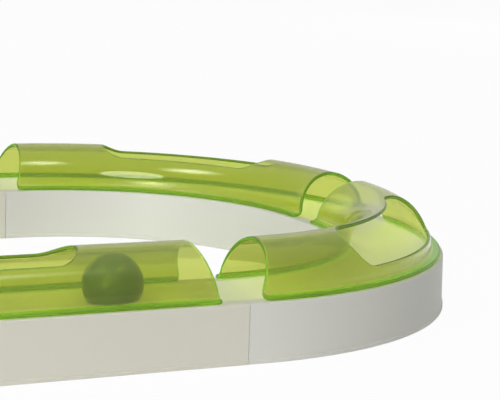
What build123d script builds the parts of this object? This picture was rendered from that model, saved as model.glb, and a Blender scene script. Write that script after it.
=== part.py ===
"""Ball track toy: clip-together track sections in a loop, lift-off arch covers and one ball.

Millimetres, +Z up. The origin is on the floor at the middle of the loop. X runs along the
straight sides, and the front side lies at negative Y.
"""
import os
from math import cos, degrees, pi, radians, sin, sqrt

from build123d import *

# Loop layout
CURVE_RADIUS = 147.0  # centreline of a quarter curve
CURVE_LEAD = 9.5  # straight run at each end of a curve section
STRAIGHT_LENGTH = 224.0  # one straight section, seam to seam
SEAM_GAP = 0.3  # between two joined sections

# Track section
TRACK_WIDTH = 60.0  # over the foot lips
BASE_HEIGHT = 28.0  # floor to the rim that carries the cover
TRACK_WALL = 2.0
SKIRT_DRAFT = 0.8  # lean of each outer wall over its height
LIP_HEIGHT = 2.0  # foot lip along the bottom edge
LIP_DEPTH = 0.6
RIM_ROUND = 1.0
GUTTER_DEPTH = 7.8  # rim down to the lowest line of the ball channel

# Stiffening ribs and end plates under the channel
RIB_THICKNESS = 1.8
RIB_CLEARANCE = 5.0  # floor to the bottom edge of a rib
RIB_TO_TAB = 12.0  # middle of a cover's tab to the rib beside its slot

# Tongue and socket that join two sections
TONGUE_WIDTH = 11.0
TONGUE_THICKNESS = 2.4
TONGUE_REACH = 8.0  # past the seam
TONGUE_OFFSET = 11.0  # centreline to the middle of the tongue
TONGUE_HEIGHT = 9.0  # floor to the underside of the tongue
TONGUE_HOOK = 1.2  # catch on top of the tongue, behind its neighbour's end plate
TONGUE_PLAY = 0.35

# Arch cover
COVER_WALL = 2.0
FLANGE_WIDTH = 5.0  # outside the arch
FLANGE_INSET = 1.35  # edge of the rim to the edge of the flange
FLANGE_THICKNESS = 2.4
FLANGE_ROUND = 1.0
FLANGE_CORNER = 3.0  # plan radius at the ends of the flange
ARCH_FOOT_ROUND = 2.4
STRAIGHT_SETBACK = 12.2  # seam to the end of a straight cover
END_RAKE = 6.3  # how far the crown of an end lies behind its feet

# Paw windows: in the top of the straight and rear covers, leaning outwards in the front bends
WINDOW_SHOULDER = 8.35  # side of the arch to the edge of a window
WINDOW_END_FLAT = 1.0  # left between the round corners of a window in a bend
STRAIGHT_TUNNEL = 62.4  # end of the cover to the window
CURVE_TUNNEL = 60.7  # the same, along the centreline of a curve
SIDE_TUNNEL = 52.5  # the same, for a leaning window
SIDE_LEAN = 33.0  # degrees

# Tabs that hold a cover in the slots of the rim
TAB_WIDTH = 12.0  # along the centreline
TAB_THICKNESS = 1.5
TAB_DROP = 6.0
TAB_INSET = 49.5  # end of the cover to the middle of a tab
TAB_PLAY = 0.3

# Ball
BALL_HEADROOM = 2.45  # height of the tunnel less the diameter of the ball
BALL_WALL = 1.6
BALL_TO_SEAM = 55.6  # centre of the ball to the seam at its right
BALL_LIFT = 0.3  # running gap above the channel
BALL_TURN = 27.0  # degrees, from square across the track

# Derived sizes
QUARTER = degrees(pi / 2)
HALF_DEPTH = CURVE_RADIUS + CURVE_LEAD  # centreline of the front and rear sides
CURVE_START = STRAIGHT_LENGTH + CURVE_LEAD  # where the bends begin, with two straights to a side
LOOP_END = CURVE_START + CURVE_RADIUS  # centreline at either end of the loop
RIM_HALF = TRACK_WIDTH / 2 - LIP_DEPTH - SKIRT_DRAFT
FLANGE_HALF = RIM_HALF - FLANGE_INSET
ARCH_RADIUS = FLANGE_HALF - FLANGE_WIDTH  # outside
FLANGE_TOP = BASE_HEIGHT + FLANGE_THICKNESS
CROWN = FLANGE_TOP + ARCH_RADIUS
TUNNEL_RADIUS = ARCH_RADIUS - COVER_WALL
GUTTER_FLOOR = BASE_HEIGHT - GUTTER_DEPTH
GUTTER_RADIUS = (TUNNEL_RADIUS**2 + GUTTER_DEPTH**2) / (2 * GUTTER_DEPTH)
GUTTER_CENTRE = GUTTER_FLOOR + GUTTER_RADIUS
TAB_LINE = ARCH_RADIUS + FLANGE_WIDTH / 2  # tabs run along the middle of the flange
STRAIGHT_COVER = STRAIGHT_LENGTH - 2 * STRAIGHT_SETBACK
WINDOW_WIDTH = 2 * (ARCH_RADIUS - WINDOW_SHOULDER)
BALL_RADIUS = (CROWN - COVER_WALL - GUTTER_FLOOR - BALL_HEADROOM) / 2
BEND_CENTRE = (0, CURVE_RADIUS)
BEND_AXIS = Axis((0, CURVE_RADIUS, 0), (0, 0, 1))
BELOW = -TRACK_WIDTH  # under everything, for cuts
ABOVE = CROWN + TRACK_WIDTH  # over everything, for cuts


def bend_angle(run):
    """Angle of a bend that takes this run of its centreline."""
    return degrees(run / CURVE_RADIUS)


def bend_plane(angle):
    """Upright plane across a curve section, facing along the track, at an angle of its bend."""
    along = (cos(radians(angle)), sin(radians(angle)), 0)
    inward = (-sin(radians(angle)), cos(radians(angle)), 0)
    start = (CURVE_RADIUS * along[1], CURVE_RADIUS - CURVE_RADIUS * along[0], 0)
    return Plane(origin=start, x_dir=inward, z_dir=along)


def end_planes(first, last):
    """The two end planes of a run, both turned to face outwards."""
    outward = Plane(origin=first.origin, x_dir=-first.x_dir, z_dir=-first.z_dir)
    return [outward, last]


def track_outline(inset, foot, mode=Mode.ADD):
    """Section of a track from a foot height up to its rim, drawn inwards by an inset."""
    top = BASE_HEIGHT - inset
    radius = GUTTER_RADIUS + inset
    gutter_edge = sqrt(radius**2 - (GUTTER_CENTRE - top) ** 2)
    rim = RIM_HALF - inset
    skirt = rim + SKIRT_DRAFT * (BASE_HEIGHT - foot) / BASE_HEIGHT
    with BuildLine() as outline:
        Polyline(
            (gutter_edge, top),
            (rim, top),
            (skirt, foot),
            (-skirt, foot),
            (-rim, top),
            (-gutter_edge, top),
        )
        ThreePointArc((-gutter_edge, top), (0, GUTTER_FLOOR - inset), (gutter_edge, top))
    make_face(outline.edges(), mode=mode)


def track_section(plane):
    """Thin-walled section of a track: skirts, rim and gutter, open underneath."""
    with BuildSketch(plane) as section:
        track_outline(0, 0)
        fillet(section.vertices().group_by(Axis.Y)[-1], RIM_ROUND)
        track_outline(TRACK_WALL, BELOW, mode=Mode.SUBTRACT)
        with Locations((TRACK_WIDTH / 2, 0)):
            Rectangle(2 * LIP_DEPTH, LIP_HEIGHT, align=(Align.MAX, Align.MIN))
        with Locations((-TRACK_WIDTH / 2, 0)):
            Rectangle(2 * LIP_DEPTH, LIP_HEIGHT, align=(Align.MIN, Align.MIN))
    return section.sketch


def cover_section(plane):
    """Section of a cover: a half-round arch on two flanges that stand on the rim."""
    with BuildSketch(plane) as section:
        with BuildLine():
            Polyline(
                (ARCH_RADIUS, FLANGE_TOP),
                (FLANGE_HALF, FLANGE_TOP),
                (FLANGE_HALF, BASE_HEIGHT),
                (TUNNEL_RADIUS, BASE_HEIGHT),
                (TUNNEL_RADIUS, FLANGE_TOP),
            )
            ThreePointArc(
                (TUNNEL_RADIUS, FLANGE_TOP),
                (0, CROWN - COVER_WALL),
                (-TUNNEL_RADIUS, FLANGE_TOP),
            )
            Polyline(
                (-TUNNEL_RADIUS, FLANGE_TOP),
                (-TUNNEL_RADIUS, BASE_HEIGHT),
                (-FLANGE_HALF, BASE_HEIGHT),
                (-FLANGE_HALF, FLANGE_TOP),
                (-ARCH_RADIUS, FLANGE_TOP),
            )
            ThreePointArc((-ARCH_RADIUS, FLANGE_TOP), (0, CROWN), (ARCH_RADIUS, FLANGE_TOP))
        make_face()
        shoulders = section.vertices().group_by(Axis.Y)[-1].sort_by(Axis.X)
        edges = [shoulders[0], shoulders[-1]]
        feet = [shoulders[1], shoulders[-2]]
        fillet(edges, min(FLANGE_ROUND, FLANGE_THICKNESS / 2))
        fillet(feet, min(ARCH_FOOT_ROUND, FLANGE_WIDTH / 2))
    return section.sketch


def bend_flange():
    """Plan of a curve cover's flange, with round corners."""
    with BuildSketch(Plane.XY.offset(BELOW)) as sector:
        with BuildLine():
            long_arc = CenterArc(BEND_CENTRE, CURVE_RADIUS + FLANGE_HALF, -QUARTER, QUARTER)
            short_arc = CenterArc(BEND_CENTRE, CURVE_RADIUS - FLANGE_HALF, -QUARTER, QUARTER)
            Line(long_arc @ 0, short_arc @ 0)
            Line(long_arc @ 1, short_arc @ 1)
        make_face()
        fillet(sector.vertices(), FLANGE_CORNER)
    return sector.sketch


def bend_window(tunnel, lean):
    """Solid that cuts the window of a curve cover, with round ends, leaning outwards."""
    start = bend_angle(tunnel)
    reach = 2 * ARCH_RADIUS
    with BuildPart() as cutter:
        with BuildSketch(bend_plane(start)) as band:
            with Locations((0, FLANGE_TOP)):
                Rectangle(WINDOW_WIDTH, reach, rotation=lean, align=(Align.CENTER, Align.MIN))
        revolve(band.sketch, axis=BEND_AXIS, revolution_arc=QUARTER - 2 * start)
        corners = cutter.edges().filter_by(GeomType.LINE).group_by(SortBy.LENGTH)[-1]
        fillet(corners, (WINDOW_WIDTH - WINDOW_END_FLAT) / 2)
    return cutter.part


def rib(plane):
    """Cross rib under the channel, centred on a plane."""
    with BuildSketch(plane) as web:
        track_outline(TRACK_WALL / 2, RIB_CLEARANCE)
    extrude(web.sketch, amount=RIB_THICKNESS / 2, both=True)


def end_joint(end):
    """End plate with a hooked tongue on one side and a socket for the neighbour's on the other."""
    socket_size = (TONGUE_WIDTH + 2 * TONGUE_PLAY, TONGUE_THICKNESS + 2 * TONGUE_PLAY)
    with BuildSketch(end) as plate:
        track_outline(TRACK_WALL / 2, RIB_CLEARANCE)
        with Locations((TONGUE_OFFSET, TONGUE_HEIGHT + TONGUE_THICKNESS / 2)):
            Rectangle(*socket_size, mode=Mode.SUBTRACT)
    extrude(plate.sketch, amount=-RIB_THICKNESS)
    with BuildSketch(end.offset(-RIB_THICKNESS)) as tongue:
        with Locations((-TONGUE_OFFSET, TONGUE_HEIGHT)):
            Rectangle(TONGUE_WIDTH, TONGUE_THICKNESS, align=(Align.CENTER, Align.MIN))
    extrude(tongue.sketch, amount=RIB_THICKNESS + TONGUE_REACH)
    catch_start = SEAM_GAP + RIB_THICKNESS + TONGUE_PLAY
    with BuildSketch(end.offset(catch_start)) as catch:
        with Locations((-TONGUE_OFFSET, TONGUE_HEIGHT)):
            Rectangle(TONGUE_WIDTH, TONGUE_THICKNESS + TONGUE_HOOK, align=(Align.CENTER, Align.MIN))
    extrude(catch.sketch, amount=TONGUE_REACH - catch_start)


def rake_end(end):
    """Slope a cover's end back from its flange to its crown."""
    lean = END_RAKE * (ABOVE - FLANGE_TOP) / ARCH_RADIUS
    side = Plane(origin=end.origin, x_dir=end.z_dir, z_dir=-end.x_dir)
    with BuildSketch(side) as wedge:
        with BuildLine():
            Polyline(
                (0, FLANGE_TOP),
                (TRACK_WIDTH, FLANGE_TOP),
                (TRACK_WIDTH, ABOVE),
                (-lean, ABOVE),
                close=True,
            )
        make_face()
    extrude(wedge.sketch, amount=TRACK_WIDTH, both=True, mode=Mode.SUBTRACT)


def straight_tabs(play, mode):
    """Tabs of a straight cover, or with play the slots they drop into."""
    spread = STRAIGHT_COVER / 2 - TAB_INSET
    with BuildSketch(Plane.XY.offset(BASE_HEIGHT)) as tabs:
        with GridLocations(2 * spread, 2 * TAB_LINE, 2, 2):
            Rectangle(TAB_WIDTH + 2 * play, TAB_THICKNESS + 2 * play)
    extrude(tabs.sketch, amount=-(TAB_DROP + play), mode=mode)


def curve_tabs(play, mode):
    """Tabs of a curve cover, or with play the slots they drop into."""
    slack = degrees(play / (CURVE_RADIUS - TAB_LINE))
    span = bend_angle(TAB_WIDTH) + 2 * slack
    middle = bend_angle(TAB_INSET)
    for angle in (middle, QUARTER - middle):
        with BuildSketch(bend_plane(angle - span / 2)) as tabs:
            with Locations((TAB_LINE, BASE_HEIGHT), (-TAB_LINE, BASE_HEIGHT)):
                Rectangle(TAB_THICKNESS + 2 * play, TAB_DROP + play, align=(Align.CENTER, Align.MAX))
        revolve(tabs.sketch, axis=BEND_AXIS, revolution_arc=span, mode=mode)


# Straight track section, along X about the origin
straight_body = STRAIGHT_LENGTH - SEAM_GAP
straight_ends = end_planes(Plane.YZ.offset(-straight_body / 2), Plane.YZ.offset(straight_body / 2))
with BuildPart() as straight_track:
    extrude(track_section(Plane.YZ), amount=straight_body / 2, both=True)
    rib_spread = STRAIGHT_COVER / 2 - TAB_INSET + RIB_TO_TAB
    for offset in (-rib_spread, 0, rib_spread):
        rib(Plane.YZ.offset(offset))
    for end in straight_ends:
        end_joint(end)
    straight_tabs(TAB_PLAY, Mode.SUBTRACT)

# Curve track section: the bend starts at the origin, runs along X and turns towards Y
lead_body = CURVE_LEAD - SEAM_GAP / 2
curve_ends = end_planes(bend_plane(0).offset(-lead_body), bend_plane(QUARTER).offset(lead_body))
with BuildPart() as curve_track:
    revolve(track_section(bend_plane(0)), axis=BEND_AXIS, revolution_arc=QUARTER)
    extrude(track_section(bend_plane(0)), amount=-lead_body)
    extrude(track_section(bend_plane(QUARTER)), amount=lead_body)
    rib_angle = bend_angle(TAB_INSET - RIB_TO_TAB)
    for angle in (rib_angle, QUARTER / 2, QUARTER - rib_angle):
        rib(bend_plane(angle))
    for end in curve_ends:
        end_joint(end)
    curve_tabs(TAB_PLAY, Mode.SUBTRACT)

# Cover of a straight section
cover_ends = end_planes(Plane.YZ.offset(-STRAIGHT_COVER / 2), Plane.YZ.offset(STRAIGHT_COVER / 2))
with BuildPart() as straight_cover:
    extrude(cover_section(Plane.YZ), amount=STRAIGHT_COVER / 2, both=True)
    with BuildSketch(Plane.XY.offset(BELOW)) as flange_plan:
        Rectangle(STRAIGHT_COVER, 2 * FLANGE_HALF)
        fillet(flange_plan.vertices(), FLANGE_CORNER)
    extrude(flange_plan.sketch, amount=ABOVE - BELOW, mode=Mode.INTERSECT)
    for end in cover_ends:
        rake_end(end)
    with BuildSketch(Plane.XY.offset(FLANGE_TOP)) as window_plan:
        SlotOverall(STRAIGHT_COVER - 2 * STRAIGHT_TUNNEL, WINDOW_WIDTH)
    extrude(window_plan.sketch, amount=ABOVE, mode=Mode.SUBTRACT)
    straight_tabs(0, Mode.ADD)


def curve_cover(tunnel, lean):
    """Cover of a curve section, over the bend alone."""
    with BuildPart() as cover:
        revolve(cover_section(bend_plane(0)), axis=BEND_AXIS, revolution_arc=QUARTER)
        extrude(bend_flange(), amount=ABOVE - BELOW, mode=Mode.INTERSECT)
        for end in end_planes(bend_plane(0), bend_plane(QUARTER)):
            rake_end(end)
        add(bend_window(tunnel, lean), mode=Mode.SUBTRACT)
        curve_tabs(0, Mode.ADD)
    return cover.part


top_window_cover = curve_cover(CURVE_TUNNEL, 0)
side_window_cover = curve_cover(SIDE_TUNNEL, SIDE_LEAN)
CURVE_COVERS = {
    "front_right": side_window_cover,
    "front_left": side_window_cover,
    "rear_right": top_window_cover,
    "rear_left": top_window_cover,
}

# Ball: two moulded shells that meet on a plane along the track
with BuildPart() as ball_rear_half:
    Sphere(BALL_RADIUS)
    Sphere(BALL_RADIUS - BALL_WALL, mode=Mode.SUBTRACT)
    split(bisect_by=Plane.XZ, keep=Keep.BOTTOM)
with BuildPart() as ball_front_half:
    Sphere(BALL_RADIUS)
    Sphere(BALL_RADIUS - BALL_WALL, mode=Mode.SUBTRACT)
    split(bisect_by=Plane.XZ, keep=Keep.TOP)


def write(piece, name):
    """Label a finished piece and write it out."""
    piece.label = name
    export_step(piece, f"parts/{name}.step")


STRAIGHT_PLACES = {
    "front_right": Location((STRAIGHT_LENGTH / 2, -HALF_DEPTH, 0)),
    "front_left": Location((-STRAIGHT_LENGTH / 2, -HALF_DEPTH, 0)),
    "rear_right": Location((STRAIGHT_LENGTH / 2, HALF_DEPTH, 0), (0, 0, 2 * QUARTER)),
    "rear_left": Location((-STRAIGHT_LENGTH / 2, HALF_DEPTH, 0), (0, 0, 2 * QUARTER)),
}
CURVE_PLACES = {
    "front_right": Location((CURVE_START, -HALF_DEPTH, 0)),
    "rear_right": Location((LOOP_END, CURVE_LEAD, 0), (0, 0, QUARTER)),
    "rear_left": Location((-CURVE_START, HALF_DEPTH, 0), (0, 0, 2 * QUARTER)),
    "front_left": Location((-LOOP_END, -CURVE_LEAD, 0), (0, 0, 3 * QUARTER)),
}
BALL_SPOT = (STRAIGHT_LENGTH - BALL_TO_SEAM, -HALF_DEPTH, GUTTER_FLOOR + BALL_LIFT + BALL_RADIUS)
BALL_PLACE = Location(BALL_SPOT, (0, 0, -BALL_TURN))

os.makedirs("parts", exist_ok=True)
for corner, place in STRAIGHT_PLACES.items():
    write(straight_track.part.moved(place), f"straight_track_{corner}")
    write(straight_cover.part.moved(place), f"straight_cover_{corner}")
for corner, place in CURVE_PLACES.items():
    write(curve_track.part.moved(place), f"curve_track_{corner}")
    write(CURVE_COVERS[corner].moved(place), f"curve_cover_{corner}")
write(ball_front_half.part.moved(BALL_PLACE), "ball_front_half")
write(ball_rear_half.part.moved(BALL_PLACE), "ball_rear_half")
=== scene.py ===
"""Looks of the ball track toy: white track sections, clear green covers and a dark ball.

Everything is in metres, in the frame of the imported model: X along the straight sides, the
front side at negative Y, the floor at Z = 0. Each section is drawn in its own frame, where it
starts along X and bends towards Y, and is then put in its place in the loop.
"""
import math

import bmesh
import bpy
from mathutils import Matrix, Vector
from mathutils.geometry import delaunay_2d_cdt


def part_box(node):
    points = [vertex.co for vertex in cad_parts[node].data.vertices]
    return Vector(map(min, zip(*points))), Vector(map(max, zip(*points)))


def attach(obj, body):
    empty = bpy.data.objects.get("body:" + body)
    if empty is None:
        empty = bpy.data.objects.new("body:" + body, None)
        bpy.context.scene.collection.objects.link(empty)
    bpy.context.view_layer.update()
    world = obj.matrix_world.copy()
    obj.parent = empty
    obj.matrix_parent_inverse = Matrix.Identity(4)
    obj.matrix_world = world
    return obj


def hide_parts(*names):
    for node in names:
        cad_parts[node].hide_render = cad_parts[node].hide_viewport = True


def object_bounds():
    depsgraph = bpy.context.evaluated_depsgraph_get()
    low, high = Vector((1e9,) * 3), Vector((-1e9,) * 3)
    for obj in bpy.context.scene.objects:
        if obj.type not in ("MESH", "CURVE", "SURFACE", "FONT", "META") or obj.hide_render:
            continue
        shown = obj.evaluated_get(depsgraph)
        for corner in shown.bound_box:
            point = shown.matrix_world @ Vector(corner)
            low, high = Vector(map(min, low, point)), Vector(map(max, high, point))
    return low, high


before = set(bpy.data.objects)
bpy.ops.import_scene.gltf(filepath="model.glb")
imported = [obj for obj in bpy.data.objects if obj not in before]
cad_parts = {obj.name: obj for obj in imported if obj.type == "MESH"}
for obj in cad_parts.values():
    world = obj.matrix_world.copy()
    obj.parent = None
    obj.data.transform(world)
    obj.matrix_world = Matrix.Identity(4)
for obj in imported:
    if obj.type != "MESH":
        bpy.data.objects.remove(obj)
cad_low, cad_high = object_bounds()

# Sizes read from the frame
track_low, track_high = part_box("straight_track_front_right")
cover_low, cover_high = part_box("straight_cover_front_right")
bend_low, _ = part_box("curve_cover_front_right")
front_low, front_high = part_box("ball_front_half")
rear_low, rear_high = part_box("ball_rear_half")
BASE_HEIGHT = track_high.z
TRACK_WIDTH = track_high.y - track_low.y
CROWN = cover_high.z
FLANGE_HALF = (cover_high.y - cover_low.y) / 2
STRAIGHT_COVER = cover_high.x - cover_low.x
HALF_DEPTH = cad_high.y - TRACK_WIDTH / 2
LOOP_END = cad_high.x - TRACK_WIDTH / 2
CURVE_START = bend_low.x
CURVE_RADIUS = LOOP_END - CURVE_START
CURVE_LEAD = HALF_DEPTH - CURVE_RADIUS
STRAIGHT_LENGTH = CURVE_START - CURVE_LEAD
BALL_RADIUS = (front_high.z - front_low.z) / 2
BALL_CENTRE = Vector(
    (
        (min(front_low.x, rear_low.x) + max(front_high.x, rear_high.x)) / 2,
        (min(front_low.y, rear_low.y) + max(front_high.y, rear_high.y)) / 2,
        (front_low.z + front_high.z) / 2,
    )
)
QUARTER = math.pi / 2
BEND_RUN = CURVE_RADIUS * QUARTER

# Track section
TRACK_WALL = 0.002
SEAM_GAP = 0.0003  # between two joined sections
SKIRT_DRAFT = 0.0008  # lean of each outer wall over its height
LIP_HEIGHT = 0.002
LIP_DEPTH = 0.0006
LIP_ROUND = 0.0004
SKIRT_FOOT_ROUND = 0.0002  # where the skirt stands on the lip
RIM_ROUND = 0.001
UNDER_RIM_ROUND = 0.0005
GUTTER_DEPTH = 0.0078  # rim down to the lowest line of the channel
GUTTER_ROUND = 0.0012
RIM_HALF = TRACK_WIDTH / 2 - LIP_DEPTH - SKIRT_DRAFT

# Ribs, end plates and the tongues that join two sections
RIB_THICKNESS = 0.0018
RIB_CLEARANCE = 0.005  # floor to the bottom edge of a rib
RIB_TO_TAB = 0.012  # middle of a cover's tab to the rib beside it
TONGUE_WIDTH = 0.011
TONGUE_THICKNESS = 0.0024
TONGUE_REACH = 0.008  # past the seam
TONGUE_OFFSET = 0.011  # centreline to the middle of a tongue
TONGUE_HEIGHT = 0.009  # floor to its underside
TONGUE_HOOK = 0.0012  # catch on top of it
TONGUE_PLAY = 0.00035

# Cover
COVER_WALL = 0.002
HALF_WALL = COVER_WALL / 2
ARCH_LIFT = 0.0024  # rim to the centre of the arch
ARCH_CENTRE = BASE_HEIGHT + ARCH_LIFT
ARCH_RADIUS = CROWN - ARCH_CENTRE
ARCH_MID = ARCH_RADIUS - HALF_WALL
COVER_PLAY = 0.0001  # between a cover and the rim under it
FLANGE_MID = BASE_HEIGHT + HALF_WALL + COVER_PLAY
FLARE_RADIUS = 0.003  # round between arch and flange, at the middle of the wall
FLANGE_CORNER = 0.003  # plan radius at the ends of a flange
FOOT_GLOW_RUN = 0.004  # edge of the flange to the end of its underside, which has the painted glow
ROOT_RUN = 0.0085  # edge of the flange to where the arch leaves its satin root
END_RAKE = 0.0063  # how far the crown of an end lies behind its feet
RAKE_SOFTNESS = 0.15  # share of the rise over which the rake sets in
WINDOW_HALF = 0.0133  # at the middle of the wall
STRAIGHT_TUNNEL = 0.0624  # end of the cover to the window
CURVE_TUNNEL = 0.0607  # the same, along the centreline of a curve
SIDE_TUNNEL = 0.0525  # the same, for a leaning window
SIDE_LEAN = math.radians(33)  # outward lean of the windows in the front bends
TAB_WIDTH = 0.012
TAB_THICKNESS = 0.0015
TAB_DROP = 0.006
TAB_SEAM = 0.00002  # between a tab and its flange
TAB_INSET = 0.0495  # end of the cover to the middle of a tab
TAB_PLAY = 0.0003
TAB_LINE = (ARCH_RADIUS + FLANGE_HALF) / 2

# Channel that carries the ball, as wide as the tunnel above it
GUTTER_EDGE = ARCH_RADIUS - COVER_WALL
GUTTER_RADIUS = (GUTTER_EDGE**2 + GUTTER_DEPTH**2) / (2 * GUTTER_DEPTH)
GUTTER_CENTRE = BASE_HEIGHT - GUTTER_DEPTH + GUTTER_RADIUS

# Ball
BALL_TURN = math.radians(27)  # its axis, from square across the track
BALL_WALL = 0.0016
PARTING_GROOVE = 0.0002  # depth
PARTING_SHOULDER = 1.5 * PARTING_GROOVE  # parting plane to the round of the ball
PARTING_FLAT = 0.3 * PARTING_GROOVE  # half width of the bottom of the groove
GATE_RADIUS = 0.0015  # mark left where the plastic ran into the mould
GATE_PROFILE = [(0, 0.0001), (0.4, 0.0001), (0.5, 0.00025), (0.85, 0.00025)]  # share of radius, depth

# Mesh spacing
RUN_STEP = 0.005
FLANGE_STEP = 0.0008
END_STEP = 0.0015
WINDOW_STEP = 0.003
ARC_STEP = math.radians(6)
WINDOW_ARC_STEP = math.radians(8)
CORNER_STEPS = 5
BULLNOSE_STEPS = 6
CLEAR_STEPS = (0, BULLNOSE_STEPS - 1)  # steps of a round edge that are as clear as the wall
EDGE_MARGIN = 0.0012  # kept free of extra points beside an edge
SHARP_ANGLE = math.radians(32)
TOLERANCE = 1e-6
WELD = 1e-7  # flat points closer than this are one point


# Frames of the two kinds of section


def straight_point(run, across, up):
    """Point of a straight section, with its run measured from the middle."""
    return Vector((run, across, up))


def straight_left(run):
    """Direction to the left of a straight section, the same at every run."""
    return Vector((0, 1, 0))


def bend_turn(run):
    """Angle turned at a run along a curve section, which has straight leads at both ends."""
    return min(max(run, 0), BEND_RUN) / CURVE_RADIUS


def curve_point(run, across, up):
    """Point of a curve section, with its run measured from where the bend starts."""
    turn = bend_turn(run)
    ahead = Vector((math.cos(turn), math.sin(turn), 0))
    middle = Vector((CURVE_RADIUS * math.sin(turn), CURVE_RADIUS * (1 - math.cos(turn)), up))
    return middle + (run - turn * CURVE_RADIUS) * ahead + across * curve_left(run)


def curve_left(run):
    """Direction to the left of a curve section at a run."""
    turn = bend_turn(run)
    return Vector((-math.sin(turn), math.cos(turn), 0))


def placed(x, y, quarters):
    """Place of a section in the loop, turned by a number of quarters."""
    return Matrix.Translation((x, y, 0)) @ Matrix.Rotation(quarters * QUARTER, 4, "Z")


STRAIGHT_PLACES = {
    "front_right": placed(STRAIGHT_LENGTH / 2, -HALF_DEPTH, 0),
    "front_left": placed(-STRAIGHT_LENGTH / 2, -HALF_DEPTH, 0),
    "rear_right": placed(STRAIGHT_LENGTH / 2, HALF_DEPTH, 2),
    "rear_left": placed(-STRAIGHT_LENGTH / 2, HALF_DEPTH, 2),
}
CURVE_PLACES = {
    "front_right": placed(CURVE_START, -HALF_DEPTH, 0),
    "rear_right": placed(LOOP_END, CURVE_LEAD, 1),
    "rear_left": placed(-CURVE_START, HALF_DEPTH, 2),
    "front_left": placed(-LOOP_END, -CURVE_LEAD, 3),
}


# Mesh helpers


def even_steps(start, end, spacing):
    """Evenly spaced values from start to end, both included."""
    count = max(1, math.ceil(abs(end - start) / spacing - TOLERANCE))
    return [start + (end - start) * index / count for index in range(count + 1)]


def rounded(corners):
    """Closed outline through (x, y, radius) corners, with an arc where a corner has a radius."""
    outline = []
    for index, (x, y, radius) in enumerate(corners):
        here = Vector((x, y))
        if radius == 0:
            outline.append(here)
            continue
        back = (Vector(corners[index - 1][:2]) - here).normalized()
        ahead = (Vector(corners[(index + 1) % len(corners)][:2]) - here).normalized()
        half = back.angle(ahead) / 2
        centre = here + (back + ahead).normalized() * radius / math.sin(half)
        first = here + back * radius / math.tan(half) - centre
        last = here + ahead * radius / math.tan(half) - centre
        for step in range(CORNER_STEPS + 1):
            outline.append(centre + radius * first.slerp(last, step / CORNER_STEPS))
    return outline


def inside(point, loop):
    """Whether a flat point lies inside a closed loop."""
    odd = False
    for here, following in zip(loop, loop[1:] + loop[:1]):
        if (here.y > point.y) != (following.y > point.y):
            cross = here.x + (following.x - here.x) * (point.y - here.y) / (following.y - here.y)
            if point.x < cross:
                odd = not odd
    return odd


def filled(outline, holes, extra=()):
    """Flat points and triangles that fill an outline with holes; the loops' points come first."""
    loops = [outline, *holes]
    points = [point for loop in loops for point in loop]
    edges = []
    for loop in loops:
        start = len(edges)
        edges += [(start + i, start + (i + 1) % len(loop)) for i in range(len(loop))]
    points += extra
    found, _, triangles, _, _, _ = delaunay_2d_cdt(points, edges, [], 0, WELD)
    kept = []
    for triangle in triangles:
        middle = sum((found[i] for i in triangle), Vector((0, 0))) / 3
        if inside(middle, outline) and not any(inside(middle, hole) for hole in holes):
            kept.append(triangle)
    return found, kept


def loop_ranges(loops):
    """Index range of each loop in the points that filled returns."""
    start = 0
    for loop in loops:
        yield range(start, start + len(loop))
        start += len(loop)


def prism(shape, outline, holes, near, far):
    """Closed prism between two places of a flat outline with holes; near and far map its points."""
    points, triangles = filled(outline, holes)
    front = [shape.verts.new(near(point)) for point in points]
    back = [shape.verts.new(far(point)) for point in points]
    for triangle in triangles:
        shape.faces.new([front[i] for i in triangle])
        shape.faces.new([back[i] for i in reversed(triangle)])
    for ring in loop_ranges([outline, *holes]):
        for here in ring:
            following = here + 1 if here + 1 < ring.stop else ring.start
            shape.faces.new((front[here], back[here], back[following], front[following]))


def mesh_from(name, build):
    """New mesh from a function that fills a bmesh and may return exact normals for its points."""
    shape = bmesh.new()
    exact = build(shape) or {}
    bmesh.ops.recalc_face_normals(shape, faces=shape.faces)
    shape.verts.index_update()
    normals = {vert.index: normal for vert, normal in exact.items()}
    mesh = bpy.data.meshes.new(name)
    shape.to_mesh(mesh)
    shape.free()
    if normals:
        corner_normals = []
        for face in mesh.polygons:
            face.use_smooth = True
            corner_normals += [normals.get(vertex, face.normal) for vertex in face.vertices]
        mesh.normals_split_custom_set(corner_normals)
    else:
        mesh.shade_smooth()
        mesh.set_sharp_from_angle(angle=SHARP_ANGLE)
    return mesh


def new_piece(name, mesh, place, materials, body, node):
    """Put a copy of a mesh in its place, as a piece that rides on a body and stands for a node."""
    copy = mesh.copy()
    copy.name = name
    copy.transform(place)
    for material in materials:
        copy.materials.append(material)
    piece = bpy.data.objects.new(name, copy)
    bpy.context.scene.collection.objects.link(piece)
    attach(piece, body)
    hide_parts(node)


# Covers

WALL, EDGE_GLOW, FOOT_GLOW, ROOT = range(4)  # clear wall, painted edge glow, painted flange glow and satin root, in the order of the cover's materials


def cover_profile():
    """Middle line of a cover's wall, flange to flange: distance along, across, up and normal."""
    flare_up = FLANGE_MID + FLARE_RADIUS
    reach = ARCH_MID + FLARE_RADIUS
    lean = math.asin((flare_up - ARCH_CENTRE) / reach)
    flare_across = reach * math.cos(lean)
    half = []
    for across in even_steps(FLANGE_HALF - HALF_WALL, flare_across, FLANGE_STEP):
        half.append((across, FLANGE_MID, Vector((0, 1))))
    for angle in even_steps(QUARTER, lean, 2 * ARC_STEP)[1:]:
        normal = Vector((math.cos(angle), math.sin(angle)))
        half.append((flare_across - FLARE_RADIUS * normal.x, flare_up - FLARE_RADIUS * normal.y, normal))
    for angle in even_steps(lean, QUARTER, ARC_STEP)[1:]:
        normal = Vector((math.cos(angle), math.sin(angle)))
        half.append((ARCH_MID * normal.x, ARCH_CENTRE + ARCH_MID * normal.y, normal))
    line = [(-across, up, Vector((-normal.x, normal.y))) for across, up, normal in half]
    line += reversed(half[:-1])
    profile = []
    along = 0
    for index, (across, up, normal) in enumerate(line):
        if index:
            along += math.hypot(across - line[index - 1][0], up - line[index - 1][1])
        profile.append((along, across, up, normal))
    return profile


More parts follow.
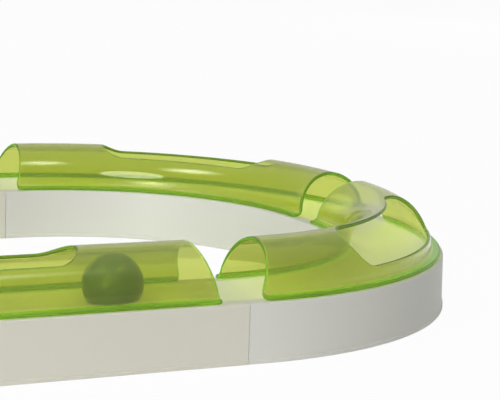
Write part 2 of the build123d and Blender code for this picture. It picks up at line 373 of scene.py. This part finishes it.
PROFILE = cover_profile()
PROFILE_RUN = PROFILE[-1][0]


def near_edge(along, reach):
    """Whether a distance along the profile lies within a reach of the edge of either flange."""
    return min(along, PROFILE_RUN - along) < reach


def on_profile(along):
    """Across, up and normal of the cover's middle line at a distance along it."""
    for before, after in zip(PROFILE, PROFILE[1:]):
        if along <= after[0]:
            break
    part = min(max((along - before[0]) / (after[0] - before[0]), 0), 1)
    across = before[1] + (after[1] - before[1]) * part
    up = before[2] + (after[2] - before[2]) * part
    return across, up, before[3].lerp(after[3], part).normalized()


def end_setback(along):
    """How far a cover's end lies behind its flange, from its rake and its round corners."""
    _, up, _ = on_profile(along)
    rise = (up - FLANGE_MID) / (CROWN - FLANGE_MID)
    soft = math.hypot(1, RAKE_SOFTNESS) - RAKE_SOFTNESS
    lean = END_RAKE * (math.hypot(rise, RAKE_SOFTNESS) - RAKE_SOFTNESS) / soft
    radius = FLANGE_CORNER - HALF_WALL
    inset = max(0, radius - min(along, PROFILE_RUN - along))
    return lean + radius - math.sqrt(radius**2 - inset**2)


def cover_outline(first, last):
    """Edge of a whole cover, flat: run along the track and distance along the profile."""
    radius = FLANGE_CORNER - HALF_WALL
    corner = [radius * (1 - math.cos(angle)) for angle in even_steps(0, QUARTER, QUARTER / CORNER_STEPS)]
    side = corner[:-1] + even_steps(radius, PROFILE_RUN - radius, END_STEP)
    side += [PROFILE_RUN - inset for inset in reversed(corner[:-1])]
    near = [Vector((first + HALF_WALL + end_setback(along), along)) for along in side]
    far = [Vector((last - HALF_WALL - end_setback(along), along)) for along in reversed(side)]
    long_edge = even_steps(near[-1].x, far[0].x, RUN_STEP)[1:-1]
    top = [Vector((run, PROFILE_RUN)) for run in long_edge]
    bottom = [Vector((run, 0)) for run in reversed(long_edge)]
    return near + top + far + bottom


def window_outline(first, last, lean, stretch):
    """Edge of a paw window, flat, with round ends and room left for the round edge of the wall."""
    half = WINDOW_HALF + HALF_WALL

    def on_arch(run, off):
        angle = math.asin(off / ARCH_MID) - lean
        return Vector((run, PROFILE_RUN / 2 + ARCH_MID * angle)), ARCH_MID * math.sin(angle)

    end = []
    for angle in even_steps(-QUARTER, QUARTER, WINDOW_ARC_STEP):
        spot, across = on_arch(0, half * math.sin(angle))
        spot.x = (half * (1 - math.cos(angle)) - HALF_WALL) * stretch(across)
        end.append(spot)
    near = [Vector((first + spot.x, spot.y)) for spot in reversed(end)]
    far = [Vector((last - spot.x, spot.y)) for spot in end]
    low = [Vector((run, near[-1].y)) for run in even_steps(near[-1].x, far[0].x, WINDOW_STEP)[1:-1]]
    high = [Vector((run, near[0].y)) for run in even_steps(far[-1].x, near[0].x, WINDOW_STEP)[1:-1]]
    return near + low + far + high


def tab_block(shape, run, side, point_at):
    """Tab under a flange, with a tapered tip that drops into a slot of the rim."""
    half = TAB_THICKNESS / 2
    tip = BASE_HEIGHT - TAB_DROP
    shoulder = tip + half
    root = FLANGE_MID - HALF_WALL - TAB_SEAM
    outline = [
        Vector((TAB_LINE - half, root)),
        Vector((TAB_LINE - half, shoulder)),
        Vector((TAB_LINE - half / 2, tip)),
        Vector((TAB_LINE + half / 2, tip)),
        Vector((TAB_LINE + half, shoulder)),
        Vector((TAB_LINE + half, root)),
    ]
    start = run - TAB_WIDTH / 2
    end = run + TAB_WIDTH / 2
    prism(
        shape,
        outline,
        [],
        lambda point: point_at(start, side * point.x, point.y),
        lambda point: point_at(end, side * point.x, point.y),
    )


def wall_points(first, last, outline, window):
    """Flat points spread over a cover's wall, clear of its edges."""
    border = outline + window
    spread_out = []
    for run in even_steps(first, last, RUN_STEP):
        for along, *_ in PROFILE[1:-1]:
            spot = Vector((run, along))
            if inside(spot, outline) and not inside(spot, window):
                if min((spot - other).length_squared for other in border) > EDGE_MARGIN**2:
                    spread_out.append(spot)
    return spread_out


def cover_mesh(name, first, last, window, tabs, point_at, left_at):
    """Cover as a closed shell of even wall with half-round edges, and its tabs."""
    outline = cover_outline(first, last)
    points, triangles = filled(outline, [window], wall_points(first, last, outline, window))

    def build(shape):
        exact = {}

        def new_point(middle, direction):
            vert = shape.verts.new(middle + direction * HALF_WALL)
            exact[vert] = direction
            return vert

        middles = []
        normals = []
        for spot in points:
            across, up, normal = on_profile(spot.y)
            middles.append(point_at(spot.x, across, up))
            normals.append(left_at(spot.x) * normal.x + Vector((0, 0, normal.y)))
        outer = [new_point(middle, normal) for middle, normal in zip(middles, normals)]
        inner = [new_point(middle, -normal) for middle, normal in zip(middles, normals)]
        for triangle in triangles:
            along = sum(points[i].y for i in triangle) / 3
            outside = shape.faces.new([outer[i] for i in triangle])
            outside.material_index = ROOT if near_edge(along, ROOT_RUN) else WALL
            # The undersides near the flanges' edges get the painted glow colour.
            underside = shape.faces.new([inner[i] for i in reversed(triangle)])
            underside.material_index = FOOT_GLOW if near_edge(along, FOOT_GLOW_RUN) else WALL
        # Round edges get the painted glow colours, all round the flanges and in their middle steps
        # elsewhere: the open ends the brighter green, the window the deeper one.
        for ring, rim in zip(loop_ranges([outline, window]), (FOOT_GLOW, EDGE_GLOW)):
            rows = []
            for index in ring:
                before = index - 1 if index > ring.start else ring.stop - 1
                after = index + 1 if index + 1 < ring.stop else ring.start
                away = normals[index].cross(middles[after] - middles[before]).normalized()
                row = [outer[index]]
                for step in range(1, BULLNOSE_STEPS):
                    angle = math.pi * step / BULLNOSE_STEPS
                    direction = math.cos(angle) * normals[index] + math.sin(angle) * away
                    row.append(new_point(middles[index], direction))
                rows.append(row + [inner[index]])
            for index, row, following in zip(ring, rows, rows[1:] + rows[:1]):
                flange = near_edge(points[index].y, FOOT_GLOW_RUN)
                painted_glow = EDGE_GLOW if flange else rim
                for step in range(BULLNOSE_STEPS):
                    corners = (row[step], following[step], following[step + 1], row[step + 1])
                    clear = step in CLEAR_STEPS and not flange
                    shape.faces.new(corners).material_index = WALL if clear else painted_glow
        for run in tabs:
            for side in (1, -1):
                tab_block(shape, run, side, point_at)
        return exact

    return mesh_from(name, build)


# Tracks


def gutter_line(inset):
    """Half of the channel's arc from its lowest line to the rim, an inset below its surface."""
    radius = GUTTER_RADIUS + inset
    rise = GUTTER_CENTRE - BASE_HEIGHT + inset
    reach = math.acos(rise / radius)
    angles = even_steps(0, reach, ARC_STEP / 2)
    return [Vector((radius * math.sin(a), GUTTER_CENTRE - radius * math.cos(a))) for a in angles]


def mirrored(half):
    """The other half of an outline's corners, in reverse order."""
    return [(-x, y, radius) for x, y, radius in reversed(half)]


def skirt_at(height, inset):
    """Half width of the skirt at a height, an inset inside its outer face."""
    return RIM_HALF + SKIRT_DRAFT * (1 - height / BASE_HEIGHT) - inset


def track_section():
    """Closed outline of a track's wall: foot lips, skirts, rim and channel, open underneath."""
    slot_half = TAB_THICKNESS / 2 + TAB_PLAY
    top_arc = gutter_line(0)
    under_arc = gutter_line(TRACK_WALL)
    under = BASE_HEIGHT - TRACK_WALL
    over = [
        (TRACK_WIDTH / 2, 0, LIP_ROUND),
        (TRACK_WIDTH / 2, LIP_HEIGHT, LIP_ROUND),
        (skirt_at(LIP_HEIGHT, 0), LIP_HEIGHT, SKIRT_FOOT_ROUND),
        (RIM_HALF, BASE_HEIGHT, RIM_ROUND),
        (TAB_LINE + slot_half, BASE_HEIGHT, 0),
        (TAB_LINE - slot_half, BASE_HEIGHT, 0),
        (GUTTER_EDGE, BASE_HEIGHT, GUTTER_ROUND),
    ]
    over += [(point.x, point.y, 0) for point in reversed(top_arc[1:-1])]
    below = [
        (skirt_at(0, TRACK_WALL), 0, LIP_ROUND),
        (skirt_at(under, TRACK_WALL), under, UNDER_RIM_ROUND),
        (TAB_LINE + slot_half, under, 0),
        (TAB_LINE - slot_half, under, 0),
    ]
    below += [(point.x, point.y, 0) for point in reversed(under_arc[1:])]
    floor_top = (0, top_arc[0].y, 0)
    floor_under = (0, under_arc[0].y, 0)
    half_loop = [floor_under, *reversed(below), *over, floor_top]
    return rounded(half_loop + mirrored(half_loop[1:-1]))


def swept(shape, section, breaks, slots, point_at):
    """Sweep a closed section along a run, with slots through its rim."""
    runs = [breaks[0]]
    for start, end in zip(breaks, breaks[1:]):
        runs += even_steps(start, end, RUN_STEP)[1:]
    rings = [[shape.verts.new(point_at(run, point.x, point.y)) for point in section] for run in runs]
    count = len(section)
    slot_reach = TAB_THICKNESS / 2 + TAB_PLAY + TOLERANCE
    rim_under = BASE_HEIGHT - TRACK_WALL - TOLERANCE
    in_slot = [abs(abs(p.x) - TAB_LINE) < slot_reach and p.y > rim_under for p in section]
    strips = [i for i in range(count) if in_slot[i] and in_slot[(i + 1) % count]]
    for near, far, start, end in zip(rings, rings[1:], runs, runs[1:]):
        middle = (start + end) / 2
        cut = any(low < middle < high for low, high in slots)
        for i in range(count):
            following = (i + 1) % count
            if not (cut and i in strips):
                shape.faces.new((near[i], near[following], far[following], far[i]))
    for low, high in slots:
        first = low - TOLERANCE
        last = high + TOLERANCE
        span = [index for index, run in enumerate(runs) if first < run < last]
        for top in strips:
            for under in strips:
                same_side = section[top].x * section[under].x > 0
                if not same_side or section[top].y < BASE_HEIGHT - TOLERANCE or under == top:
                    continue
                corners = (top, (top + 1) % count, under, (under + 1) % count)
                for above, below in ((corners[0], corners[3]), (corners[1], corners[2])):
                    for index in span[:-1]:
                        near = rings[index]
                        far = rings[index + 1]
                        shape.faces.new((near[above], far[above], far[below], near[below]))
                for index in (span[0], span[-1]):
                    shape.faces.new([rings[index][corner] for corner in corners])
    shape.faces.new(rings[0])
    shape.faces.new(rings[-1])


def web_outline():
    """Outline of a rib or end plate: between the skirts and under the channel."""
    inset = TRACK_WALL / 2
    top = BASE_HEIGHT - inset
    arc = gutter_line(inset)
    half = [Vector((skirt_at(height, inset), height)) for height in (RIB_CLEARANCE, top)]
    half += reversed(arc[1:])
    left = [Vector((-point.x, point.y)) for point in reversed(half)]
    return half + [arc[0]] + left


def web(shape, start, end, holes, point_at):
    """Rib or end plate between two runs."""
    prism(
        shape,
        web_outline(),
        holes,
        lambda point: point_at(start, point.x, point.y),
        lambda point: point_at(end, point.x, point.y),
    )


def end_joint(shape, end, outward, point_at):
    """End plate with a socket on one side and a hooked tongue on the other."""
    middle = TONGUE_HEIGHT + TONGUE_THICKNESS / 2
    wide = TONGUE_WIDTH / 2 + TONGUE_PLAY
    high = TONGUE_THICKNESS / 2 + TONGUE_PLAY
    socket = []
    for x, y in ((-wide, -high), (wide, -high), (wide, high), (-wide, high)):
        socket.append(Vector((outward * TONGUE_OFFSET + x, middle + y)))
    web(shape, end, end - outward * RIB_THICKNESS, [socket], point_at)
    top = TONGUE_HEIGHT + TONGUE_THICKNESS
    catch = SEAM_GAP + RIB_THICKNESS + TONGUE_PLAY
    outline = [
        Vector((-RIB_THICKNESS, TONGUE_HEIGHT)),
        Vector((TONGUE_REACH, TONGUE_HEIGHT)),
        Vector((TONGUE_REACH, top)),
        Vector((TONGUE_REACH - 2 * TONGUE_HOOK, top + TONGUE_HOOK)),
        Vector((catch, top + TONGUE_HOOK)),
        Vector((catch, top)),
        Vector((-RIB_THICKNESS, top)),
    ]
    near = -outward * TONGUE_OFFSET - TONGUE_WIDTH / 2
    far = near + TONGUE_WIDTH
    prism(
        shape,
        outline,
        [],
        lambda point: point_at(end + outward * point.x, near, point.y),
        lambda point: point_at(end + outward * point.x, far, point.y),
    )


def track_mesh(name, first, last, bends, tabs, ribs, point_at):
    """Track section with its rim slots, ribs and end joints."""
    reach = TAB_WIDTH / 2 + TAB_PLAY
    slots = [(run - reach, run + reach) for run in tabs]
    breaks = sorted([first, last, *bends, *(run for slot in slots for run in slot)])

    def build(shape):
        swept(shape, track_section(), breaks, slots, point_at)
        for run in ribs:
            web(shape, run - RIB_THICKNESS / 2, run + RIB_THICKNESS / 2, [], point_at)
        end_joint(shape, first, -1, point_at)
        end_joint(shape, last, 1, point_at)

    return mesh_from(name, build)


# Ball


def ball_half_mesh():
    """Half of the ball, turned about its pole: outer face, parting groove, hollow inside."""
    line = [(GATE_RADIUS * share, BALL_RADIUS - sink) for share, sink in GATE_PROFILE]
    start = math.asin(GATE_RADIUS / BALL_RADIUS)
    end = QUARTER - PARTING_SHOULDER / BALL_RADIUS
    for angle in even_steps(start, end, ARC_STEP / 2):
        line.append((BALL_RADIUS * math.sin(angle), BALL_RADIUS * math.cos(angle)))
    line.append((BALL_RADIUS - PARTING_GROOVE, PARTING_FLAT))
    line.append((BALL_RADIUS - PARTING_GROOVE, 0))
    hollow = BALL_RADIUS - BALL_WALL
    for angle in even_steps(QUARTER, 0, ARC_STEP):
        line.append((hollow * math.sin(angle), hollow * math.cos(angle)))

    def build(shape):
        turns = even_steps(0, 2 * math.pi, ARC_STEP)[:-1]
        rows = []
        for radius, out in line:
            ring = [(radius * math.sin(turn), -out, radius * math.cos(turn)) for turn in turns]
            if radius < TOLERANCE:
                ring = [(0, -out, 0)]
            rows.append([shape.verts.new(point) for point in ring])
        for row, following in zip(rows, rows[1:]):
            for i in range(len(turns)):
                after = (i + 1) % len(turns)
                corners = [row[i % len(row)], row[after % len(row)]]
                corners += [following[after % len(following)], following[i % len(following)]]
                shape.faces.new(list(dict.fromkeys(corners)))

    return mesh_from("ball_half", build)


# Materials

TRACK_GRAIN = 0.00001  # depth of the mould's grain
COVER_GRAIN = 0.000001
BALL_GRAIN = 0.000003
COVER_FLOW = 30  # flow marks of the covers, finer than the others


def new_group(name, inputs, outputs):
    """Empty shader node group with float sockets."""
    group = bpy.data.node_groups.new(name, "ShaderNodeTree")
    for label, value in inputs.items():
        socket = group.interface.new_socket(label, in_out="INPUT", socket_type="NodeSocketFloat")
        socket.default_value = value
    for label in outputs:
        group.interface.new_socket(label, in_out="OUTPUT", socket_type="NodeSocketFloat")
    return group, group.nodes.new("NodeGroupInput"), group.nodes.new("NodeGroupOutput")


def spread(group, source, middle, width):
    """Value that goes from middle - width to middle + width as its source goes from 0 to 1."""
    centred = group.nodes.new("ShaderNodeMath")
    centred.operation = "MULTIPLY_ADD"
    centred.inputs[1].default_value = 2
    centred.inputs[2].default_value = -1
    group.links.new(source, centred.inputs[0])
    scaled = group.nodes.new("ShaderNodeMath")
    scaled.operation = "MULTIPLY_ADD"
    group.links.new(centred.outputs[0], scaled.inputs[0])
    group.links.new(width, scaled.inputs[1])
    group.links.new(middle, scaled.inputs[2])
    return scaled.outputs[0]


def moulded_surface():
    """Moulded plastic: slow flow marks in tone and gloss, and the fine grain of the mould."""
    inputs = {
        "Flow Scale": 16,
        "Grain Scale": 1800,
        "Tone": 1,
        "Tone Spread": 0.02,
        "Gloss": 0.4,
        "Gloss Spread": 0.05,
    }
    group, start, end = new_group("moulded_surface", inputs, ("Tone", "Roughness", "Height"))
    place = group.nodes.new("ShaderNodeTexCoord")
    flow = group.nodes.new("ShaderNodeTexNoise")
    flow.inputs["Detail"].default_value = 3
    flow.inputs["Distortion"].default_value = 0.6
    grain = group.nodes.new("ShaderNodeTexNoise")
    grain.inputs["Detail"].default_value = 2
    links = group.links
    for noise, label in ((flow, "Flow Scale"), (grain, "Grain Scale")):
        links.new(place.outputs["Object"], noise.inputs["Vector"])
        links.new(start.outputs[label], noise.inputs["Scale"])
    tone = spread(group, flow.outputs["Fac"], start.outputs["Tone"], start.outputs["Tone Spread"])
    gloss = spread(group, flow.outputs["Fac"], start.outputs["Gloss"], start.outputs["Gloss Spread"])
    links.new(tone, end.inputs["Tone"])
    links.new(gloss, end.inputs["Roughness"])
    links.new(grain.outputs["Fac"], end.inputs["Height"])
    return group


MOULDED_SURFACE = moulded_surface()


def moulded_plastic(name, colour, bump, **marks):
    """Plastic whose tone, gloss and grain come from the moulded surface group."""
    material = bpy.data.materials.new(name)
    material.use_nodes = True
    material.diffuse_color = (*colour, 1)
    nodes = material.node_tree.nodes
    links = material.node_tree.links
    shader = nodes["Principled BSDF"]
    surface = nodes.new("ShaderNodeGroup")
    surface.node_tree = MOULDED_SURFACE
    for label, value in marks.items():
        surface.inputs[label.replace("_", " ").title()].default_value = value
    tint = nodes.new("ShaderNodeHueSaturation")
    tint.inputs["Color"].default_value = (*colour, 1)
    relief = nodes.new("ShaderNodeBump")
    relief.inputs["Strength"].default_value = 1
    relief.inputs["Distance"].default_value = bump
    links.new(surface.outputs["Tone"], tint.inputs["Value"])
    links.new(tint.outputs["Color"], shader.inputs["Base Color"])
    links.new(surface.outputs["Roughness"], shader.inputs["Roughness"])
    links.new(surface.outputs["Height"], relief.inputs["Height"])
    links.new(relief.outputs["Normal"], shader.inputs["Normal"])
    return material, shader


def track_white(name, colour):
    """Satin white plastic of the track sections."""
    marks = {"tone_spread": 0.015, "gloss": 0.42, "gloss_spread": 0.06}
    material, shader = moulded_plastic(name, colour, TRACK_GRAIN, **marks)
    shader.inputs["IOR"].default_value = 1.49
    return material


def let_lamps_through(material, shader, tint):
    """Let the light of the lamps through clear plastic, so that it reaches what is behind."""
    nodes = material.node_tree.nodes
    links = material.node_tree.links
    path = nodes.new("ShaderNodeLightPath")
    film = nodes.new("ShaderNodeBsdfTransparent")
    film.inputs["Color"].default_value = (*tint, 1)
    mix = nodes.new("ShaderNodeMixShader")
    links.new(path.outputs["Is Shadow Ray"], mix.inputs["Fac"])
    links.new(shader.outputs["BSDF"], mix.inputs[1])
    links.new(film.outputs["BSDF"], mix.inputs[2])
    links.new(mix.outputs["Shader"], nodes["Material Output"].inputs["Surface"])


def clear_plastic(name, colour, lamp_tint, ior, transmission, **marks):
    """Clear tinted plastic of a cover, with its own tint for the light of the lamps."""
    material, shader = moulded_plastic(name, colour, COVER_GRAIN, flow_scale=COVER_FLOW, **marks)
    shader.inputs["IOR"].default_value = ior
    shader.inputs["Transmission Weight"].default_value = transmission
    let_lamps_through(material, shader, lamp_tint)
    return material


def cover_finishes_and_painted_glow():
    """Finishes of a cover: clear wall, edges, feet, and the satin root of the arch; the edges and feet
    are a deeper, less clear green that is painted glow.
    """
    wall = {
        "colour": (0.585, 0.65, 0.135),
        "lamp_tint": (0.82, 0.89, 0.55),
        "ior": 1.45,
        "transmission": 0.93,
        "tone_spread": 0.03,
        "gloss_spread": 0.03,
    }
    # Rims of the windows and edges of the flanges, in a deeper green that is painted glow and shade of
    # the edges
    edge = {
        "colour": (0.29, 0.47, 0.06),
        "lamp_tint": (0.7, 0.8, 0.3),
        "ior": 1.2,
        "transmission": 0.6,
        "tone_spread": 0.05,
        "gloss": 0.25,
        "gloss_spread": 0.04,
    }
    # Undersides of the flanges and rims of the open ends, in a brighter green that is painted glow of
    # light coming through the flanges
    foot = {
        "colour": (0.33, 0.7, 0.06),
        "lamp_tint": (0.8, 0.9, 0.4),
        "ior": 1.2,
        "transmission": 0.64,
        "tone_spread": 0.05,
        "gloss": 0.25,
        "gloss_spread": 0.05,
    }
    return [
        clear_plastic("cover_green", gloss=0.06, **wall),
        clear_plastic("cover_edge_glow", **edge),
        clear_plastic("cover_foot_glow", **foot),
        clear_plastic("cover_root", gloss=0.24, **wall),
    ]


def ball_grey():
    """Satin plastic of the ball: dark grey, with a green tint that is painted light from the green
    covers around it.
    """
    # dark grey, with green added as painted light from the covers
    colour = (0.036, 0.108, 0.022)
    material, shader = moulded_plastic("ball_grey", colour, BALL_GRAIN, tone_spread=0.04, gloss=0.34)
    shader.inputs["IOR"].default_value = 1.7
    return material


# The pieces, in their places

straight_end = (STRAIGHT_LENGTH - SEAM_GAP) / 2
straight_tab = STRAIGHT_COVER / 2 - TAB_INSET
straight_tabs = [-straight_tab, straight_tab]
straight_window = STRAIGHT_COVER / 2 - STRAIGHT_TUNNEL
straight_rib = straight_tab + RIB_TO_TAB
straight_ribs = [-straight_rib, 0, straight_rib]
straight_track = track_mesh(
    "straight_track", -straight_end, straight_end, [], straight_tabs, straight_ribs, straight_point
)
straight_cover = cover_mesh(
    "straight_cover",
    -STRAIGHT_COVER / 2,
    STRAIGHT_COVER / 2,
    window_outline(-straight_window, straight_window, 0, lambda across: 1),
    straight_tabs,
    straight_point,
    straight_left,
)

curve_end = CURVE_LEAD - SEAM_GAP / 2
curve_tabs = [TAB_INSET, BEND_RUN - TAB_INSET]
curve_rib = TAB_INSET - RIB_TO_TAB
curve_ribs = [curve_rib, BEND_RUN / 2, BEND_RUN - curve_rib]
curve_track = track_mesh(
    "curve_track", -curve_end, BEND_RUN + curve_end, [0, BEND_RUN], curve_tabs, curve_ribs, curve_point
)


def curve_cover(name, tunnel, lean):
    """Cover of a bend, with its window at a distance from its ends and leaning outwards."""

    def stretch(across):
        return CURVE_RADIUS / (CURVE_RADIUS - across)

    window = window_outline(tunnel, BEND_RUN - tunnel, lean, stretch)
    return cover_mesh(name, 0, BEND_RUN, window, curve_tabs, curve_point, curve_left)


top_window_cover = curve_cover("top_window_cover", CURVE_TUNNEL, 0)
side_window_cover = curve_cover("side_window_cover", SIDE_TUNNEL, SIDE_LEAN)

warm_white = track_white("track_white_warm", (0.78, 0.763, 0.657))
cool_white = track_white("track_white_cool", (0.79, 0.79, 0.722))
clear_green = cover_finishes_and_painted_glow()
for corner in STRAIGHT_PLACES:
    bend_cover = side_window_cover if corner.startswith("front") else top_window_cover
    for kind, places, track, cover, white in (
        ("straight", STRAIGHT_PLACES, straight_track, straight_cover, warm_white),
        ("curve", CURVE_PLACES, curve_track, bend_cover, cool_white),
    ):
        place = places[corner]
        track_node = f"{kind}_track_{corner}"
        cover_node = f"{kind}_cover_{corner}"
        lid = f"{kind}_{corner}_lid"
        new_piece(f"{corner}_{kind}_base", track, place, [white], "track_loop", track_node)
        new_piece(f"{corner}_{kind}_arch", cover, place, clear_green, lid, cover_node)

grey = ball_grey()
ball_half = ball_half_mesh()
for side, turn in (("front", 0), ("rear", math.pi)):
    place = Matrix.Translation(BALL_CENTRE) @ Matrix.Rotation(turn - BALL_TURN, 4, "Z")
    new_piece(f"ball_{side}_shell", ball_half, place, [grey], "ball", f"ball_{side}_half")


# Floor, light and camera

FLOOR_SIZE = 80
FLOOR_PAINT = 0.9
FLOOR_GLOW = 0.96  # share of plain white in the floor as it shows
WORLD_LEVEL = 0.12  # light that the surroundings give
ROOM_LEVEL = 0.62  # surroundings as gloss shows them, up to the height of ROOM_WALL
ROOM_WALL = 0.6
ROOM_CEILING = 0.9  # height of a direction from which gloss shows plain white
FRONT_AIM = (0.15, -0.1, 0.03)
CRISP = 0.1  # share of a light's half width over which it fades


def seen_directly(tree):
    """1 for rays from the camera, straight or through gloss and clear plastic, and 0 for the rest."""
    path = tree.nodes.new("ShaderNodeLightPath")
    either = path.outputs["Is Camera Ray"]
    for label in ("Is Glossy Ray", "Is Transmission Ray"):
        largest = tree.nodes.new("ShaderNodeMath")
        largest.operation = "MAXIMUM"
        tree.links.new(either, largest.inputs[0])
        tree.links.new(path.outputs[label], largest.inputs[1])
        either = largest.outputs[0]
    return either


def white_floor():
    """Wide white floor that shows as white and keeps a faint shadow."""
    bpy.ops.mesh.primitive_plane_add(size=FLOOR_SIZE, location=(0, 0, 0))
    floor = bpy.context.object
    floor.name = "floor"
    material = bpy.data.materials.new("floor_white")
    material.use_nodes = True
    tree = material.node_tree
    tree.nodes.clear()
    paint = tree.nodes.new("ShaderNodeBsdfDiffuse")
    paint.inputs["Color"].default_value = (FLOOR_PAINT, FLOOR_PAINT, FLOOR_PAINT, 1)
    glow = tree.nodes.new("ShaderNodeEmission")
    share = tree.nodes.new("ShaderNodeMath")
    share.operation = "MULTIPLY"
    share.inputs[1].default_value = FLOOR_GLOW
    mix = tree.nodes.new("ShaderNodeMixShader")
    end = tree.nodes.new("ShaderNodeOutputMaterial")
    tree.links.new(seen_directly(tree), share.inputs[0])
    tree.links.new(share.outputs[0], mix.inputs["Fac"])
    tree.links.new(paint.outputs[0], mix.inputs[1])
    tree.links.new(glow.outputs[0], mix.inputs[2])
    tree.links.new(mix.outputs[0], end.inputs["Surface"])
    floor.data.materials.append(material)


def white_world():
    """White surroundings at a plain level, which show as white, and in gloss as dimmer low down."""
    world = bpy.data.worlds.new("white_surroundings")
    world.use_nodes = True
    bpy.context.scene.world = world
    tree = world.node_tree
    background = tree.nodes["Background"]
    background.inputs["Color"].default_value = (1, 1, 1, 1)
    level = tree.nodes.new("ShaderNodeMapRange")
    level.inputs["To Min"].default_value = WORLD_LEVEL
    level.inputs["To Max"].default_value = 1
    tree.links.new(seen_directly(tree), level.inputs["Value"])
    direction = tree.nodes.new("ShaderNodeTexCoord")
    parts = tree.nodes.new("ShaderNodeSeparateXYZ")
    tree.links.new(direction.outputs["Generated"], parts.inputs["Vector"])
    room = tree.nodes.new("ShaderNodeMapRange")
    room.interpolation_type = "SMOOTHSTEP"
    room.inputs["From Min"].default_value = ROOM_WALL
    room.inputs["From Max"].default_value = ROOM_CEILING
    room.inputs["To Min"].default_value = ROOM_LEVEL
    room.inputs["To Max"].default_value = 1
    tree.links.new(parts.outputs["Z"], room.inputs["Value"])
    path = tree.nodes.new("ShaderNodeLightPath")
    strength = tree.nodes.new("ShaderNodeMix")
    tree.links.new(path.outputs["Is Glossy Ray"], strength.inputs["Factor"])
    tree.links.new(level.outputs["Result"], strength.inputs["A"])
    tree.links.new(room.outputs["Result"], strength.inputs["B"])
    tree.links.new(strength.outputs["Result"], background.inputs["Strength"])


def soft_box(name, position, target, width, height, power, edge=1, highlights=True):
    """Rectangular studio light aimed at a point: it fades over an edge, and may give no highlights."""
    middle = 0.5
    light = bpy.data.lights.new(name, "AREA")
    light.shape = "RECTANGLE"
    light.size = width
    light.size_y = height
    light.energy = power
    light.use_nodes = True
    tree = light.node_tree
    place = tree.nodes.new("ShaderNodeNewGeometry")
    offset = tree.nodes.new("ShaderNodeVectorMath")
    offset.operation = "DISTANCE"
    offset.inputs[1].default_value = (middle, middle, 0)
    fade = tree.nodes.new("ShaderNodeMapRange")
    fade.interpolation_type = "SMOOTHSTEP"
    fade.inputs["From Min"].default_value = middle
    fade.inputs["From Max"].default_value = middle * (1 - edge)
    tree.links.new(place.outputs["Parametric"], offset.inputs[0])
    tree.links.new(offset.outputs["Value"], fade.inputs["Value"])
    tree.links.new(fade.outputs["Result"], tree.nodes["Emission"].inputs["Strength"])
    lamp = bpy.data.objects.new(name, light)
    aim = Vector(target) - Vector(position)
    turn = aim.to_track_quat("-Z", "Y").to_matrix().to_4x4()
    lamp.matrix_world = Matrix.Translation(position) @ turn
    lamp.visible_camera = False
    lamp.visible_glossy = highlights
    bpy.context.scene.collection.objects.link(lamp)


white_floor()
white_world()
soft_box("key_light", (-1.1, -1.5, 1.3), FRONT_AIM, width=1.4, height=1.0, power=26, edge=CRISP)
soft_box("fill_light", (-2.0, -1.75, 0.35), FRONT_AIM, width=1.6, height=0.6, power=66)
soft_box("ceiling_light_right", (1.35, -2.7, 5.18), (0.25, 0.14, 0.04), width=2.8, height=2.0, power=155)
soft_box("ceiling_light_left", (-0.61, 0.0, 1.2), (0.33, 0.09, 0.04), width=0.9, height=0.5, power=14)
unseen = {"edge": CRISP, "highlights": False}
soft_box("back_light", (-0.3, 2.5, 0.9), (0.0, 0.1, 0.03), width=2.0, height=1.0, power=18, **unseen)
soft_box("side_light", (2.1, 1.5, 0.5), (0.2, 0.1, 0.03), width=1.4, height=0.8, power=7, **unseen)

CAMERA_PLACE = (-0.16904, -0.91461, 0.2119)
CAMERA_HEADING = math.radians(28.152)
CAMERA_PITCH = math.radians(9.355)
CAMERA_ROLL = math.radians(2.657)
CAMERA_LENS = 135.414
CAMERA_SENSOR = 36
CAMERA_REACH = 200

camera = bpy.data.objects.new("camera", bpy.data.cameras.new("camera"))
camera.data.lens = CAMERA_LENS
camera.data.sensor_width = CAMERA_SENSOR
camera.data.clip_end = CAMERA_REACH
camera.matrix_world = (
    Matrix.Translation(CAMERA_PLACE)
    @ Matrix.Rotation(-CAMERA_HEADING, 4, "Z")
    @ Matrix.Rotation(QUARTER - CAMERA_PITCH, 4, "X")
    @ Matrix.Rotation(CAMERA_ROLL, 4, "Z")
)
bpy.context.scene.collection.objects.link(camera)
bpy.context.scene.camera = camera
bpy.context.scene.view_settings.view_transform = "Standard"
